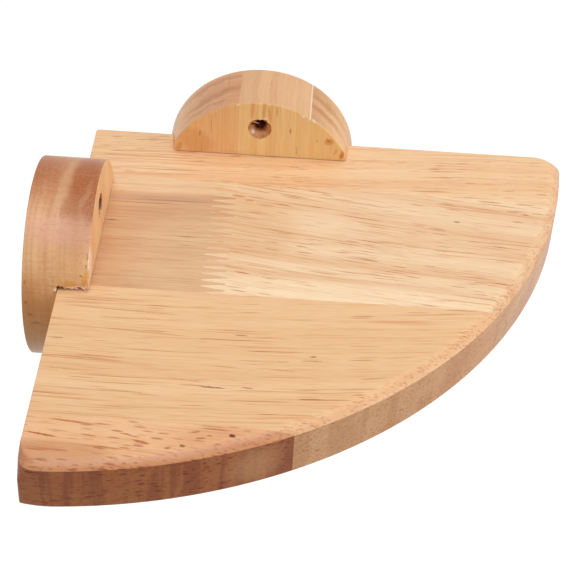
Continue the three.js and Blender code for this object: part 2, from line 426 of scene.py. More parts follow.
def keep_between(piece, axis, low=None, high=None):
    """Saws a piece at one or two planes across an axis and keeps what lies between them."""
    split_flats(piece)
    edit(piece)
    normal = Vector((0, 0, 0))
    normal[axis] = 1
    for place, side in ((low, {"clear_inner": True}), (high, {"clear_outer": True})):
        if place is not None:
            pick_all()
            bpy.ops.mesh.bisect(
                plane_co=normal * place, plane_no=normal, use_fill=True, threshold=TINY, **side
            )
    weld()
    return close()


def finish_surface(piece):
    """Smooth curves, flat flats: shading by angle with face-weighted normals."""
    choose(piece)
    bpy.ops.object.shade_smooth_by_angle(angle=SMOOTH_BELOW)
    weight = piece.modifiers.new("weight", "WEIGHTED_NORMAL")
    weight.keep_sharp = True
    bpy.ops.object.modifier_apply(modifier=weight.name)


def polar(distance, turn):
    """A step in plan of a distance towards a heading."""
    return Vector((distance * math.cos(turn), distance * math.sin(turn), 0))


def heading(start, end):
    return math.atan2(end.y - start.y, end.x - start.x)


def soft_edge(height):
    """How far the straight edges are eased inwards at a height, next to the top and the underside."""
    depth = min(-height, height + thickness)
    return SOFT_EDGE - math.sqrt(SOFT_EDGE**2 - max(0.0, SOFT_EDGE - depth) ** 2)


def board_ring(height, inset):
    """One closed outline of the board at a height, with its front curve drawn in by inset."""
    shift = (math.sqrt(2 * FRONT_RADIUS**2 - EDGE**2) - EDGE) / 2
    radius = FRONT_RADIUS - inset - SKIN
    front = corner + Vector((-shift, shift, height))
    soft = soft_edge(height)
    base = corner + Vector((soft, -soft, height))

    ease_turn = -math.acos((EASE_REACH + shift) / radius)
    ease = front + polar(radius - EASE_RADIUS, ease_turn)
    widening = max(0.0, 1 + height / SIDE_TOP_DROP)
    side_radius = SIDE_END_RADIUS + widening * (SIDE_TOP_RADIUS - SIDE_END_RADIUS)
    across = base.x + side_radius - ease.x
    reach = math.sqrt((EASE_RADIUS - side_radius) ** 2 - across**2)
    side = Vector((base.x + side_radius, ease.y - reach, base.z))
    side_turn = heading(ease, side)

    back_y = base.y - BACK_END_RADIUS
    back_reach = math.sqrt((radius - BACK_END_RADIUS) ** 2 - (back_y - front.y) ** 2)
    back = Vector((front.x + back_reach, back_y, base.z))
    back_turn = heading(front, back)
    inner = base + Vector((INNER_RADIUS, -INNER_RADIUS, 0))

    first_point("board_ring", inner + Vector((0, INNER_RADIUS, 0)))
    draw_arc(inner, math.pi / 2, INNER_STEPS)
    draw_to(inner - Vector((INNER_RADIUS, 0, 0)), side - Vector((side_radius, 0, 0)))
    draw_arc(side, math.pi + side_turn, END_STEPS)
    draw_arc(ease, ease_turn - side_turn, EASE_STEPS)
    draw_arc(front, back_turn - ease_turn, FRONT_STEPS)
    draw_arc(back, math.pi / 2 - back_turn, END_STEPS)
    pick_points(lambda place: place.y > base.y - NEAR)
    bpy.ops.mesh.edge_face_add()
    return close()


def edge_profile():
    """Height and inset of each outline of the board, from the underside up over the shoulder."""
    levels = []
    for ring in range(UNDER_RINGS, -1, -1):
        slope = math.pi / 2 * ring / UNDER_RINGS
        rise = UNDER_RADIUS * (1 - math.sin(slope))
        levels.append((rise - thickness, UNDER_RADIUS * (1 - math.cos(slope))))
    levels.append((-SIDE_TOP_DROP, 0.0))
    arris = SHOULDER_RADIUS * (math.cos(SHOULDER_SWEEP) - 1)
    turn = math.pi / 2 - SHOULDER_SWEEP
    foot = arris - ARRIS_RADIUS * math.tan(turn / 2)
    for ring in range(ARRIS_RINGS + 1):
        slope = turn * ring / ARRIS_RINGS
        levels.append((foot + ARRIS_RADIUS * math.sin(slope), ARRIS_RADIUS * (1 - math.cos(slope))))
    for ring in range(SHOULDER_RINGS - 1, -1, -1):
        slope = SHOULDER_SWEEP * ring / SHOULDER_RINGS
        inset = SHOULDER_RADIUS * (math.sin(SHOULDER_SWEEP) - math.sin(slope))
        levels.append((SHOULDER_RADIUS * (math.cos(slope) - 1), inset))
    return levels


def board_blank():
    """The whole board: outlines drawn at each height of its edge profile, bridged and capped."""
    levels = edge_profile()
    rings = [board_ring(height, inset) for height, inset in levels]
    bpy.ops.object.select_all(action="DESELECT")
    for ring in rings:
        ring.select_set(True)
    bpy.context.view_layer.objects.active = rings[0]
    bpy.ops.object.join()
    piece = new_piece("board_blank")
    edit(piece)
    heights = [corner.z + height for height, inset in levels]
    for low, high in zip(heights, heights[1:]):
        pick_edges(lambda place: min(abs(place.z - low), abs(place.z - high)) < TINY)
        bpy.ops.mesh.bridge_edge_loops()
    for height in (heights[0], heights[-1]):
        pick_edges(lambda place: abs(place.z - height) < TINY)
        bpy.ops.mesh.edge_face_add()
    return close_outwards()


def screw_room():
    """The room that a screw needs in the wood, from the wall face at Y = 0 inwards."""
    head = HEAD_RADIUS + SCREW_PLAY
    shank = SCREW_RADIUS + SCREW_PLAY
    reach = SCREW_LENGTH + SET_BACK + SCREW_PLAY
    rim = SET_BACK + HEAD_RIM
    seat = HEAD_RADIUS - SCREW_RADIUS
    profile = [(0, -reach), (shank, SCREW_POINT - reach), (shank, -rim - seat), (head, -rim)]
    profile += [(head, MARGIN), (0, MARGIN)]
    return lathe("screw_room", profile)


def finger_line(back, front):
    """The zigzag of the finger joint between two glue lines."""
    count = int((back - front) / FINGER_PITCH)
    start = back - (back - front - count * FINGER_PITCH) / 2
    left = corner.x + FINGER_REACH - FINGER_LENGTH / 2
    right = left + FINGER_LENGTH
    points = [(left, back + MARGIN)]
    for i in range(count):
        y = start - i * FINGER_PITCH
        points.append((left, y - FINGER_TIP))
        points.append((right, y - FINGER_PITCH / 2))
        points.append((right, y - FINGER_PITCH / 2 - FINGER_TIP))
        points.append((left, y - FINGER_PITCH))
    points.append((left, front - MARGIN))
    return points


def board_pieces():
    """The board's staves, sawn from one blank so that their faces meet."""
    blank = board_blank()
    back_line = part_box("board_stave_1")[0].y
    middle_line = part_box("board_stave_3")[1].y
    front_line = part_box("board_stave_4")[1].y
    limits = {
        "board_stave_1": (back_line, None),
        "board_stave_2_left": (middle_line, back_line),
        "board_stave_3": (front_line, middle_line),
        "board_stave_4": (None, front_line),
    }
    staves = {}
    for node, (low, high) in limits.items():
        staves[node] = keep_between(copy_of(blank, node + "_wood"), 1, low, high)
    bpy.data.objects.remove(blank)

    bored = (("board_stave_1", BACK_PLACE, 0), ("board_stave_2_left", SIDE_PLACE, SIDE_TURN))
    for node, place, turn in bored:
        mouth = Vector((place.x, place.y, screw_height))
        carve(staves[node], placed(screw_room(), mouth, turn))

    line = finger_line(back_line, middle_line)
    west = corner.x - MARGIN
    outline = [(west, middle_line - MARGIN), (west, back_line + MARGIN), *line]
    under = corner.z - thickness - MARGIN
    points = [Vector((x, y, under)) for x, y in outline]
    fingers = prism("fingers", points, Vector((0, 0, thickness + 2 * MARGIN)))
    left = staves["board_stave_2_left"]
    right = copy_of(left, "board_stave_2_right_wood")
    carve(right, fingers, keep=True)
    carve(left, fingers, "INTERSECT")
    staves["board_stave_2_right"] = right
    return staves


def wall_hole():
    """Cutter of the countersunk wall hole: a clean cone, torn at its neck and at its upper lip."""
    mouth = -disc_thickness
    slope = (SINK_RADIUS - HOLE_RADIUS) / SINK_DEPTH
    past = mouth - MM
    neck = mouth + SINK_DEPTH
    profile = [(0, past), (SINK_RADIUS + slope * MM, past)]
    profile += [(HOLE_RADIUS + slope * NECK_BAND, neck - NECK_BAND), (HOLE_RADIUS, neck)]
    profile += [(HOLE_RADIUS, MARGIN), (0, MARGIN)]
    cutter = lathe("wall_hole", profile, HOLE_STEPS)
    edit(cutter)

    def at_neck(point, side):
        turn = math.atan2(point.z, point.x)
        wave = sum(math.sin(count * turn + start) for count, start in NECK_WAVES)
        return abs(point.y - neck) < TINY and side * wave > TEAR_START

    for side, reach in ((1, DEEP_TEAR), (-1, -SHORT_TEAR)):
        pick_points(lambda point: at_neck(point, side))
        bpy.ops.transform.translate(value=(0, reach, 0))
    pick_points(lambda point: abs(point.y - past) < TINY)
    bpy.ops.transform.vertex_random(offset=MOUTH_TEAR, uniform=0.0, normal=0.0, seed=MOUTH_SEED)
    pick_points(lambda point: abs(point.y - past) < 2 * MOUTH_TEAR and point.z > BITE_LIMIT)
    bpy.ops.transform.vertex_random(offset=BITE, uniform=0.0, normal=0.0, seed=BITE_SEED)
    return close()


def disc_blank():
    """A slotted disc about its own centre, wall face at Y = 0 and front face towards -Y."""
    bpy.ops.object.select_all(action="DESELECT")
    bpy.ops.mesh.primitive_cylinder_add(
        vertices=DISC_STEPS,
        radius=disc_radius - SKIN,
        depth=disc_thickness - SKIN,
        location=(0, (SKIN - disc_thickness) / 2, 0),
        rotation=(math.pi / 2, 0, 0),
    )
    blank = settle(new_piece("disc_blank"))
    edit(blank)
    bpy.ops.mesh.select_mode(type="EDGE")
    bpy.ops.mesh.edges_select_sharp(sharpness=CREASE)
    bpy.ops.mesh.bevel(offset=DISC_EASE, segments=DISC_EASE_STEPS, profile=0.5, affect="EDGES")
    close()

    span = 2 * (disc_radius + MARGIN)
    floor = -thickness - disc_height
    depth = disc_thickness - wall_gap + MARGIN
    height = thickness + SLOT_PLAY
    slot_middle = (0, -wall_gap - depth / 2, floor + height / 2)
    slot = block("slot", slot_middle, (span, depth, height))
    hole = placed(wall_hole(), Vector((0, 0, HOLE_HEIGHT - disc_height)))
    bore = placed(screw_room(), Vector((0, 0, screw_height - disc_height)))
    for cutter in (slot, hole, bore):
        carve(blank, cutter)
    return blank


def disc_pieces(prefix, blank, place, turn):
    """One disc's three staves, sawn from the blank and set against its wall."""
    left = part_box("back_disc_left_stave")[1].x - back_disc_x
    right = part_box("back_disc_right_stave")[0].x - back_disc_x
    limits = {"left_stave": (None, left), "middle_stave": (left, right), "right_stave": (right, None)}
    staves = {}
    for name, (low, high) in limits.items():
        node = f"{prefix}_{name}"
        stave = keep_between(copy_of(blank, node + "_wood"), 0, low, high)
        staves[node] = placed(stave, place, turn)
    return staves


def shave(piece, place, turn, outline):
    """Sands a disc's corner blunt over the slot: an outline in plan, from the disc's own centre."""
    foot = -disc_height - MM
    points = [Vector((x * MM, y * MM, foot)) for x, y in outline]
    carve(piece, placed(prism("shaving", points, Vector((0, 0, SHAVE_HEIGHT))), place, turn))


def tear(piece):
    """Tears the side disc's lower edge where the slot runs out."""
    points = [Vector((x, TEAR_FACE, z)) * MM for x, z in TEAR_OUTLINE]
    carve(piece, prism("bite", points, Vector(TEAR_REACH) * MM))


def splinter(piece, splinters):
    """Leaves thin tapered fibres standing on a piece, each from its root to its tip."""
    for start, end, radius in splinters:
        start = Vector(start) * MM
        run = Vector(end) * MM - start
        bpy.ops.object.select_all(action="DESELECT")
        bpy.ops.mesh.primitive_cone_add(
            vertices=SPLINTER_SIDES,
            radius1=radius * MM,
            radius2=SPLINTER_TIP * radius * MM,
            depth=run.length,
        )
        spike = new_piece("spike")
        spike.rotation_euler = run.to_track_quat("Z", "Y").to_euler()
        spike.location = start + run / 2
        carve(piece, settle(spike), "UNION")


def screw_piece(name, place, turn):
    """Countersunk wood screw: a turned body, a cut thread and a cross recess."""
    rod_end = HEAD_RIM + HEAD_RADIUS - SCREW_RADIUS
    profile = [(0, -SCREW_LENGTH), (SCREW_ROOT, SCREW_POINT - SCREW_LENGTH)]
    profile += [(SCREW_ROOT, -rod_end - SHANK_RUN), (SCREW_RADIUS, -rod_end - SHANK_LENGTH)]
    profile += [(SCREW_RADIUS, -rod_end), (HEAD_RADIUS, -HEAD_RIM)]
    profile += [(HEAD_RADIUS, 0), (0, 0)]
    body = lathe(name, profile)

    foot = SCREW_ROOT * THREAD_SINK
    ridge = [(foot, THREAD_FOOT[0]), (SCREW_RADIUS, THREAD_CREST[0])]
    ridge += [(SCREW_RADIUS, THREAD_CREST[1]), (foot, THREAD_FOOT[1])]
    start = SCREW_POINT - SCREW_LENGTH
    points = [Vector((radius, start + share * SCREW_PITCH, 0)) for radius, share in ridge]
    draw_line("thread", points)
    pick_all()
    bpy.ops.mesh.edge_face_add()
    bpy.ops.mesh.delete(type="ONLY_FACE")
    thread = close()
    winding = thread.modifiers.new("winding", "SCREW")
    winding.axis = "Y"
    winding.screw_offset = SCREW_PITCH
    winding.iterations = int((SCREW_LENGTH - SCREW_POINT - rod_end - THREAD_GAP) / SCREW_PITCH)
    winding.steps = THREAD_STEPS
    winding.render_steps = THREAD_STEPS
    bpy.ops.object.modifier_apply(modifier=winding.name)
    edit(thread)
    pick_all()
    bpy.ops.mesh.fill_holes(sides=0)
    carve(body, close_outwards(), "UNION")

    for width, height in ((RECESS_SPAN, RECESS_WIDTH), (RECESS_WIDTH, RECESS_SPAN)):
        size = (width, RECESS_DEPTH + MM, height)
        carve(body, block("wing", (0, (MM - RECESS_DEPTH) / 2, 0), size))
    edit(body)
    weld(2 * TINY)
    close()
    return placed(body, place, turn)


BOARD = board_pieces()
blank_disc = disc_blank()
DISCS = disc_pieces("back_disc", blank_disc, BACK_PLACE, 0)
DISCS.update(disc_pieces("side_disc", blank_disc, SIDE_PLACE, SIDE_TURN))
bpy.data.objects.remove(blank_disc)
shave(DISCS["back_disc_left_stave"], BACK_PLACE, 0, BACK_LEFT_SHAVE)
shave(DISCS["back_disc_right_stave"], BACK_PLACE, 0, BACK_RIGHT_SHAVE)
shave(DISCS["side_disc_left_stave"], SIDE_PLACE, SIDE_TURN, SIDE_SHAVE)
tear(DISCS["side_disc_left_stave"])
splinter(DISCS["side_disc_left_stave"], SPLINTERS)
splinter(DISCS["back_disc_middle_stave"], HOLE_SPLINTERS)
SCREWS = {
    "back_disc_screw": screw_piece(
        "back_disc_screw_steel", Vector((BACK_PLACE.x, -SET_BACK, screw_height)), 0
    ),
    "side_disc_screw": screw_piece(
        "side_disc_screw_steel", Vector((SET_BACK, SIDE_PLACE.y, screw_height)), SIDE_TURN
    ),
}


def paint(code):
    """A linear colour from a painter's hex code."""
    parts = [int(code[i:i + 2], 16) / 255 for i in (1, 3, 5)]
    linear = [c / 12.92 if c <= 0.04045 else ((c + 0.055) / 1.055) ** 2.4 for c in parts]
    return (*linear, 1.0)


def fill(node, inputs):
    """Sets each input of a node to a value, or joins it to an output."""
    for name, value in inputs.items():
        if isinstance(value, bpy.types.NodeSocket):
            node.id_data.links.new(value, node.inputs[name])
        else:
            node.inputs[name].default_value = value
    return node.outputs


def add(kind, inputs, tree=None, **settings):
    """The outputs of a new node, in the tree that its inputs come from."""
    for value in inputs.values():
        if isinstance(value, bpy.types.NodeSocket):
            tree = value.id_data
    node = tree.nodes.new("ShaderNode" + kind)
    for name, value in settings.items():
        setattr(node, name, value)
    return fill(node, inputs)


def reckon(operation, a, b=0.0, clamp=False):
    return add("Math", {0: a, 1: b}, operation=operation, use_clamp=clamp)[0]


def times(a, b):
    return reckon("MULTIPLY", a, b)


def vector(operation, a, b=(0, 0, 0)):
    """A vector reckoned from two, or the value of a length or a dot product."""
    result = "Value" if operation in ("LENGTH", "DOT_PRODUCT") else "Vector"
    return add("VectorMath", {0: a, 1: b}, operation=operation)[result]


def scale_by(place, factors):
    return vector("MULTIPLY", place, factors)


def ramp(value, low, high, start=0.0, end=1.0):
    """Start below low, end above high, and a soft step between them."""
    inputs = {"Value": value, "From Min": low, "From Max": high, "To Min": start, "To Max": end}
    return add("MapRange", inputs, interpolation_type="SMOOTHSTEP")[0]


def mix(factor, one, other, blend="MIX"):
    inputs = {0: factor, 6: one, 7: other}
    return add("Mix", inputs, data_type="RGBA", blend_type=blend)[2]


def noise(place, scale, detail, roughness=0.5):
    """A noise's outputs, its value first."""
    inputs = {"Vector": place, "Scale": scale, "Detail": detail, "Roughness": roughness}
    return add("TexNoise", inputs)


def shake(place, scale):
    """A noise of vectors about zero."""
    return vector("SUBTRACT", noise(place, scale, 2.0)["Color"], (0.5, 0.5, 0.5))


def local(place, centre, turn, size):
    """A place as seen from a centre, turned, and measured in sizes."""
    inputs = {"Vector": place, "Location": centre, "Rotation": turn, "Scale": size}
    return add("Mapping", inputs, vector_type="TEXTURE")[0]


def off_plane(place, point, normal):
    """How far a place lies from a plane, on either side."""
    apart = vector("SUBTRACT", place, point)
    return reckon("ABSOLUTE", vector("DOT_PRODUCT", apart, normal))


def group(name, vectors, values, result, kind="Float"):
    """A node group from the names of its vector and value inputs and of its one output."""
    tree = bpy.data.node_groups.new(name, "ShaderNodeTree")
    sockets = [(socket, "INPUT", "Vector") for socket in vectors.split()]
    sockets += [(socket, "INPUT", "Float") for socket in values.split()]
    for socket, way, sort in [*sockets, (result, "OUTPUT", kind)]:
        tree.interface.new_socket(socket, in_out=way, socket_type="NodeSocket" + sort)
    return tree.nodes.new("NodeGroupInput").outputs


def give(result):
    """Ends a node group with what it puts out."""
    tree = result.id_data
    tree.links.new(result, tree.nodes.new("NodeGroupOutput").inputs[0])
    return tree


def use(made, **inputs):
    """What one of the shared node groups puts out for its inputs."""
    return add("Group", inputs, node_tree=made)[0]


def make_wander():
    """Grain that wanders: the place is bent along the grain and pushed aside by a slow noise."""
    given = group("grain wander", "Place", "Reach Bend", "Place", "Vector")
    along = add("SeparateXYZ", {0: given["Place"]})[0]
    sag = times(times(along, along), given["Bend"])
    aside = add("CombineXYZ", {1: sag})[0]
    bent = vector("SUBTRACT", given["Place"], aside)
    pushed = scale_by(shake(scale_by(bent, WANDER_CELL), 1.0), (0, 1, 1))
    push = add("VectorMath", {0: pushed, "Scale": given["Reach"]}, operation="SCALE")[0]
    return give(vector("ADD", bent, push))


def make_layers():
    """Growth layers: uneven shells round the tree's heart, which runs along the grain."""
    given = group("growth layers", "Place Heart", "Spacing Seed", "Layer")
    apart = vector("SUBTRACT", given["Place"], given["Heart"])
    reach = vector("LENGTH", scale_by(apart, SHELL))
    turn = reckon("ADD", reckon("DIVIDE", reach, given["Spacing"]), given["Seed"])
    inputs = {"W": turn, "Scale": 1.0, "Detail": 4.0, "Roughness": 0.62}
    shells = add("TexNoise", inputs, noise_dimensions="1D")[0]
    return give(ramp(shells, *LAYERED))


def stretched(given):
    """The place measured in cells that are long along the grain and slim across it."""
    size = add("CombineXYZ", {0: given["Length"], 1: given["Width"], 2: given["Width"]})[0]
    return vector("DIVIDE", given["Place"], size)


def make_vessels():
    """Cut vessels: slim spindles along the grain, which show as dashes, or as dots on end grain."""
    given = group("vessels", "Place", "Length Width Reach Share", "Vessel")
    voronoi = add("TexVoronoi", {"Vector": stretched(given), "Scale": 1.0})
    half = times(given["Reach"], VESSEL_CORE)
    spindle = ramp(voronoi["Distance"], half, given["Reach"], 1.0, 0.0)
    chance = add("SeparateColor", {0: voronoi["Color"]})
    present = reckon("LESS_THAN", chance[0], given["Share"])
    shown = times(present, ramp(chance[1], 0.0, 1.0, FAINTEST, 1.0))
    return give(times(spindle, shown))


def make_fibre():
    """Fine lines of fibre along the grain."""
    given = group("fibre", "Place", "Length Width", "Fibre")
    return give(noise(stretched(given), 1.0, 3.0, 0.6)[0])


def make_facing():
    """How far a face looks along an axis, whichever way round."""
    given = group("facing", "Normal Axis", "Low High", "Facing")
    share = reckon("ABSOLUTE", vector("DOT_PRODUCT", given["Normal"], given["Axis"]))
    return give(ramp(share, given["Low"], given["High"]))


def make_mark():
    """One soft spindle-shaped mark at a chosen place: a knot, a filled pore, a mineral streak, a
    painted highlight or painted shade.
    """
    given = group("mark", "Place Centre Turn Size", "Core", "Mark")
    spot = local(given["Place"], given["Centre"], given["Turn"], given["Size"])
    return give(ramp(vector("LENGTH", spot), given["Core"], 1.0, 1.0, 0.0))


def make_seam():
    """One along a plane and nothing away from it: a glue line."""
    given = group("seam", "Place Point Normal", "Half", "Seam")
    away = off_plane(given["Place"], given["Point"], given["Normal"])
    edge = times(given["Half"], 2.0)
    return give(ramp(away, given["Half"], edge, 1.0, 0.0))


WANDER = make_wander()
LAYERS = make_layers()
VESSELS = make_vessels()
FIBRE = make_fibre()
FACING = make_facing()
MARK = make_mark()
SEAM = make_seam()

# Tints for the marks: besides the wood's own colours, some dark ones paint shade into hollows and
# some pale ones paint highlights
TINTS = {
    "grey": "#7a4a30", "brown": "#8f5630", "rust": "#bf7a44", "red": "#b4602e", "knot_and_shade": "#5a260c",
    "orange": "#d08440", "lilac": "#cf9f86", "pale": "#fdebd2", "cream": "#f8d4a8",
    "straw": "#ffe6bf", "tan": "#e6b88a", "splinter": "#f8dccb", "umber": "#a85c28",
    "russet": "#a85c30", "sand": "#e8b98c", "highlight_pink": "#eab298", "honey": "#e2a453",
    "cone": "#e0a876", "cone_deep": "#bd7d49", "bore": "#87492a", "amber": "#dfa371",
    "streak": "#d88e46", "dark": "#34150a", "chip_and_highlight": "#fff6ea",
}
TINTS = {name: paint(code) for name, code in TINTS.items()}
BAND_TINT = paint("#dfc6ae")
END_TINT = paint("#f4d6ac")


def grain_turn(grain, across):
    """The turn that lays a pattern's X axis along the grain and its Y axis across it."""
    grain = Vector(grain).normalized()
    across = Vector(across).normalized()
    return Matrix((grain, across, grain.cross(across))).transposed().to_euler()


def new_material(name):
    """A new material with its node tree and its shader."""
    material = bpy.data.materials.new(name)
    material.use_nodes = True
    return material, material.node_tree, material.node_tree.nodes["Principled BSDF"]


def fibre(place, size):
    return use(FIBRE, Place=place, Length=size[0], Width=size[1])


def vessels(place, size, reach, share):
    return use(VESSELS, Place=place, Length=size[0], Width=size[1], Reach=reach, Share=share)


def facing(normal, axis, span):
    return use(FACING, Normal=normal, Axis=axis, Low=span[0], High=span[1])


def turned_away(normal, axis, span):
    return reckon("SUBTRACT", 1.0, facing(normal, axis, span))


def wood(
    name, node, tints, grain, across, seed, heart, ends=None, bend=0.0, sway=2.0, spacing=4,
    layer_share=0.6, lines=0.5, dashes=0.5, long_dashes=0.5, dash_size=DASH, line_size=LINE,
    depth=0.9, end_share=0.6, brow=None, side=None, bands=0.4, dots=0.0, grit=0.0,
    crowding=0.3, stains_and_light=(), marks=(), seams=(), axis=None, hole=None, rim_marks=(),
):
    """Oiled rubberwood of one stave: layers, fibre and vessels in the stave's own grain direction."""
    pale, deep, line, dash = [paint(code) for code in tints]
    material, tree, shader = new_material(name)
    raw = add("TexCoord", {}, tree)["Object"]
    low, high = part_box(node)
    mapped = local(raw, (low + high) / 2, grain_turn(grain, across), (MM, MM, MM))
    place = use(WANDER, Place=mapped, Reach=sway, Bend=bend / 2)
    own = vector("ADD", place, [seed * step for step in SEED_STEPS])
    spot = scale_by(raw, PER_MM)
    normal = add("NewGeometry", {}, tree)["Normal"]
    ending = facing(normal, grain, END_GRAIN)

    layer = use(LAYERS, Place=place, Heart=heart, Spacing=spacing, Seed=seed * LAYER_STEP)
    sizes = (BROAD, GROVE, THIN, STRAND, HAIR)
    broad, grove, thin, strand, hair = [fibre(own, size) for size in sizes]
    crowd = ramp(grove, *CROWDED, crowding, 1.0)
    short = times(vessels(own, dash_size, VESSEL_REACH, dashes), crowd)
    slim = times(vessels(own, line_size, VESSEL_REACH, long_dashes), crowd)

    slow = ramp(broad, *SLOW_TONE, 0.0, 1.0 - layer_share)
    tone = reckon("ADD", times(layer, layer_share), slow, clamp=True)
    color = add_marks(mix(tone, pale, deep), spot, stains_and_light)
    drawn = times(ramp(thin, *DRAWN), crowd)
    color = mix(times(drawn, lines), color, line)
    color = mix(ramp(strand, *STRANDED), color, deep, "MULTIPLY")
    for vessel in (short, slim):
        color = mix(times(vessel, depth), color, dash)
    gloss = COAT
    if brow is not None:
        color, shoulder = shade_shoulder(color, place, normal, paint(brow), bands, dots, dash)
        gloss = ramp(shoulder, 0.0, 1.0, COAT, SHOULDER_COAT)
    if side is not None:
        upright = turned_away(normal, UPWARD, SIDE_FACE)
        color = mix(upright, color, paint(side), "MULTIPLY")
    if ends is None:
        sawn = mix(1.0, color, END_TINT, "MULTIPLY")
    else:
        sawn = mix(tone, *[paint(code) for code in ends])
    color = mix(times(ending, end_share), color, sawn)
    if axis is not None:
        rim = turned_away(normal, axis, DISC_RIM)
        color = add_marks(color, spot, rim_marks, BROAD_EDGE, rim)
        color = sand_rim(color, spot, rim, axis)
        color = cut_hole(color, spot, rim, axis, hole)
        specks = noise(scale_by(place, GRIT), 1.0, 3.0)[0]
        color = roughen(color, specks, PALE_SPECKS, DARK_SPECKS, times(ending, grit))
    color = add_seams(color, spot, ending, seams)
    color = add_marks(color, spot, marks, BOARD_EDGE if axis is None else DISC_EDGE)

    dips = reckon("MAXIMUM", short, slim)
    worn = ramp(hair, *WORN)
    relief = reckon("SUBTRACT", times(hair, HAIR_RELIEF), dips)
    bump = {"Height": relief, "Strength": BUMP_STRENGTH, "Distance": BUMP_DEPTH}
    surface = {
        "Base Color": color,
        "Roughness": reckon("ADD", worn, times(dips, PORE_ROUGHNESS)),
        "Normal": add("Bump", bump)[0],
        "Specular IOR Level": SPECULAR,
        "Coat Weight": gloss,
        "Coat Roughness": COAT_ROUGHNESS,
    }
    fill(shader, surface)
    return material


def shade_shoulder(color, place, normal, brow, bands, dots, dash):
    """Darker wood and painted shade on shoulder and rim, with growth bands and cut pores; also gives
    the shoulder.
    """
    turned = turned_away(normal, UPWARD, SHOULDER)
    # painted shade: the shoulder and rim are darkened towards the arris, on top of the wood's own
    # darker tone there
    color = mix(turned, color, brow, "MULTIPLY")
    upright = turned_away(normal, UPWARD, FRONT_RIM)
    crossed = times(ramp(fibre(place, BAND), *BANDED), upright)
    color = mix(times(crossed, bands), color, BAND_TINT, "MULTIPLY")
    cut = times(vessels(place, PORE, PORE_REACH, PORE_SHARE), turned)
    color = mix(times(cut, dots), color, dash)
    return color, reckon("SUBTRACT", turned, upright, clamp=True)


def add_seams(color, place, ending, seams):
    """Lays each (point, normal, half width, tint, share) line over the end grain, in millimetres."""
    for point, normal, half, tint, share in seams:
        seam = use(SEAM, Place=place, Point=point, Normal=normal, Half=half)
        seam = times(seam, ramp(ending, *GLUED))
        color = mix(times(seam, share), color, TINTS[tint])
    return color


def add_marks(color, place, marks, edge=BOARD_EDGE, within=None):
    """Lays each (centre, turn, half sizes, tint, share) mark over the wood, ragged at its edge."""
    if not marks:
        return color
    scale, reach, core = edge
    ragged = vector("ADD", place, scale_by(shake(place, scale), reach))
    for centre, turn, size, tint, share in marks:
        mark = use(MARK, Place=ragged, Centre=centre, Turn=turn, Size=size, Core=core)
        if within is not None:
            mark = times(mark, within)
        color = mix(times(mark, share), color, TINTS[tint])
    return color


def roughen(color, pattern, light, dark, share):
    """Pale and dark specks or scratches over a share of the wood."""
    color = mix(times(ramp(pattern, *light), share), color, TINTS["sand"])
    return mix(times(ramp(pattern, *dark), share), color, TINTS["umber"])


def sand_rim(color, place, rim, axis):
    """Fine sanding scratches across a disc's rim, along its axis."""
    turn = (0, 0, -math.atan2(axis[1], axis[0]))
    scratch = fibre(add("Mapping", {"Vector": place, "Rotation": turn})[0], SCRATCH)
    return roughen(color, scratch, PALE_SCRATCH, DARK_SCRATCH, rim)


def cut_hole(color, place, rim, axis, centre):
    """Rough brown end grain on the wall hole's cone, and painted shade that turns it near black down
    its bore.
    """
    size = [HOLE_SPREAD + HOLE_REACH * part for part in axis]
    cut = times(use(MARK, Place=place, Centre=centre, Size=size, Core=CORE), rim)
    # painted shade: the hole darkens with depth from its cone down into the bore
    deep = ramp(off_plane(place, centre, axis), *CONE_DEPTH)
    torn = ramp(noise(place, 0.7, 3.0)[0], *TORN_CONE)
    cone = mix(torn, TINTS["cone"], TINTS["cone_deep"])
    return mix(cut, color, mix(deep, cone, TINTS["bore"]))


def top_marks(rows):
    """Marks on the board's top: x, y, half length, half width and slope from its inner corner."""
    marks = []
    for x, y, reach, half, slope, tint, share in rows:
        centre = (corner.x / MM + x, corner.y / MM + y, 0)
        size = (reach, half, TOP_MARK_DEPTH)
        marks.append((centre, (0, 0, math.radians(slope)), size, tint, share))
    return marks


def marks_from(origin, rows, axis=1):
    """Marks placed from an origin: x, y, z, half sizes, tint, share and any turn about an axis."""
    marks = []
    for x, y, z, size, tint, share, *turn in rows:
        turns = [0, 0, 0]
        if turn:
            turns[axis] = turn[0]
        centre = (origin[0] + x, origin[1] + y, origin[2] + z)
        marks.append((centre, turns, size, tint, share))
    return marks


def board_wood(name, node, tints, slope, stains_and_light=(), marks=(), more=(), **look):
    """The wood of one of the board's staves, whose grain runs at a slope to the back edge."""
    return wood(
        name, node, tints, (1, slope, 0), (-slope, 1, 0),
        stains_and_light=top_marks(stains_and_light), marks=top_marks(marks) + list(more), **look,
    )


def steel():
    material, tree, shader = new_material("bright_zinc")
    place = scale_by(add("TexCoord", {}, tree)["Object"], PER_MM)
    patches = noise(place, 0.9, 4.0)[0]
    color = mix(ramp(patches, 0.35, 0.7), paint("#b9bcc2"), paint("#8f9299"))
    rough = ramp(patches, 0.3, 0.7, 0.28, 0.42)
    fill(shader, {"Base Color": color, "Roughness": rough, "Metallic": 1.0})
    return material
